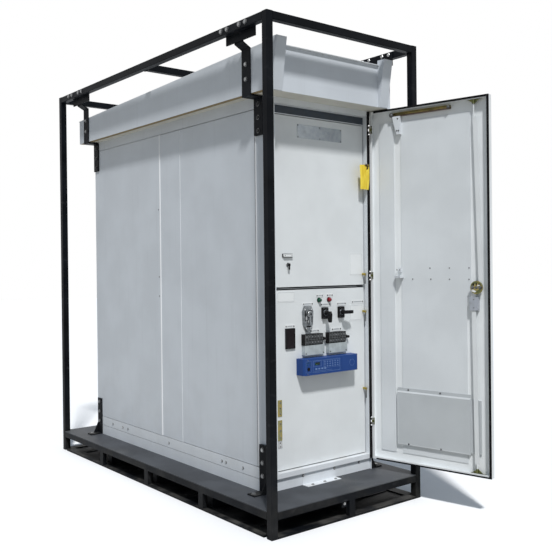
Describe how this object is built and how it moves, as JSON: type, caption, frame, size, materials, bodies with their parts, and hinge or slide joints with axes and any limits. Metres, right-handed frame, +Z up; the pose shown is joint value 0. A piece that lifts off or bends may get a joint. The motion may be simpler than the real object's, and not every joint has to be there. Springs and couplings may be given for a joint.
{
  "type": "caged outdoor switchgear cubicle on a skid",
  "caption": "Outdoor electrical switchgear cubicle on a base skid inside a tube cage, with a weather door, two inner doors, a control panel and a sloping roof.",
  "frame": {"origin": "centre of the base skid's plan, on the ground, at the underside of its middle cross member", "axes": "+Z up, -Y out of the door side, +Y along the skid's long side towards the rear, +X towards the outer door's hinge side"},
  "size_m": [1.3729, 3.4529, 3.048],
  "materials": {
    "black_paint": "semi-gloss black paint, dusty",
    "deck_paint": "matt charcoal paint, scuffed",
    "white_paint": "satin off-white powder coat",
    "inner_paint": "satin pale grey paint",
    "galvanised": "dull zinc-plated steel",
    "yellow_zinc": "yellow passivated zinc plating",
    "header_grey": "satin blue-grey enamel",
    "rubber": "black weather seal",
    "black_plastic": "black moulded phenolic",
    "clear_plastic": "clear moulded cover, lightly hazed",
    "grey_plastic": "mid grey moulded plastic",
    "relay_blue": "satin blue enamel",
    "green_lens": "moulded green lens",
    "red_lens": "moulded red lens",
    "dark_window": "smoked viewing window",
    "plate_grey": "satin blank plate"
  },
  "bodies": {
    "fixed_plant": {"cage_posts": "black_paint", "cage_side_rails": "black_paint", "cage_cross_rails": "black_paint", "skid_rails": "black_paint", "ground_lug": "galvanised", "skid_cross_members": "black_paint", "deck_plate": "deck_paint", "wall_panels": "white_paint", "corner_strips": "white_paint", "base_bands": "white_paint", "side_frame": "inner_paint", "inner_partitions": "inner_paint", "front_frame": "white_paint", "header_strip": "header_grey", "jamb_gasket": "rubber", "foot_angle": "white_paint", "roof_fascias": "white_paint", "soffit": "white_paint", "roof_end_caps": "white_paint", "roof_sheet": "white_paint", "roof_hangers": "black_paint", "base_brackets": "black_paint", "bracket_bolts": "galvanised", "panel_bolts": "galvanised", "inner_hinges_frame": "yellow_zinc", "outer_hinges_frame": "yellow_zinc"},
    "outer_door": {"outer_door_leaf": "white_paint", "outer_door_gasket": "rubber", "door_inner_sheets": "inner_paint", "door_cover": "inner_paint", "stay_channel": "yellow_zinc", "door_brackets": "white_paint", "latch_guides": "galvanised", "outer_hinges_door": "yellow_zinc"},
    "latch_handle": {"latch_hub": "yellow_zinc", "latch_lever": "galvanised"},
    "upper_latch_bolt": {"upper_latch_rod": "inner_paint"},
    "lower_latch_bolt": {"lower_latch_rod": "inner_paint"},
    "upper_door": {"upper_inner_door": "inner_paint", "upper_door_hinges": "yellow_zinc", "upper_door_fittings": "galvanised", "blank_plate": "plate_grey"},
    "lower_door": {"lower_inner_door": "inner_paint", "lower_door_hinges": "yellow_zinc", "lower_thumbscrews": "yellow_zinc", "green_lamp": "green_lens", "red_lamp": "red_lens", "lever_housing": "grey_plastic", "switch_bodies": "black_plastic", "small_window": "dark_window", "test_blocks": "black_plastic", "relay_case": "relay_blue", "lower_edge_plate": "galvanised", "test_block_covers": "clear_plastic"},
    "switch_knob_1": {"switch_handle_1": "black_plastic"},
    "switch_knob_2": {"switch_handle_2": "black_plastic"}
  },
  "joints": [
    {"name": "outer_door_swing", "type": "hinge", "parent": "fixed_plant", "child": "outer_door", "pos_m": [0.484, -1.165, 1.43], "axis": [0, 0, 1], "range_deg": [-102.2, 0]},
    {"name": "upper_door_swing", "type": "hinge", "parent": "fixed_plant", "child": "upper_door", "pos_m": [-0.345, -1.126, 1.99], "axis": [0, 0, -1], "range_deg": [0, 95]},
    {"name": "lower_door_swing", "type": "hinge", "parent": "fixed_plant", "child": "lower_door", "pos_m": [-0.345, -1.126, 0.85], "axis": [0, 0, -1], "range_deg": [0, 95]},
    {"name": "latch_turn", "type": "hinge", "parent": "outer_door", "child": "latch_handle", "pos_m": [0.69181, -1.90377, 1.428], "axis": [0.9774, 0.2113, 0], "range_deg": [0, 90]},
    {"name": "upper_bolt_slide", "type": "slide", "parent": "outer_door", "child": "upper_latch_bolt", "axis": [0, 0, 1], "range_m": [0, 0.026]},
    {"name": "lower_bolt_slide", "type": "slide", "parent": "outer_door", "child": "lower_latch_bolt", "axis": [0, 0, -1], "range_m": [0, 0.026]},
    {"name": "switch_1_turn", "type": "hinge", "parent": "lower_door", "child": "switch_knob_1", "pos_m": [0.08, -1.15, 1.262], "axis": [0, -1, 0], "range_deg": [-45, 45]},
    {"name": "switch_2_turn", "type": "hinge", "parent": "lower_door", "child": "switch_knob_2", "pos_m": [0.228, -1.15, 1.262], "axis": [0, -1, 0], "range_deg": [-45, 45]}
  ],
  "couplings": [
    {"joint": "upper_bolt_slide", "follows": "latch_turn", "m_per_rad": 0.0159},
    {"joint": "lower_bolt_slide", "follows": "latch_turn", "m_per_rad": 0.0159}
  ]
}
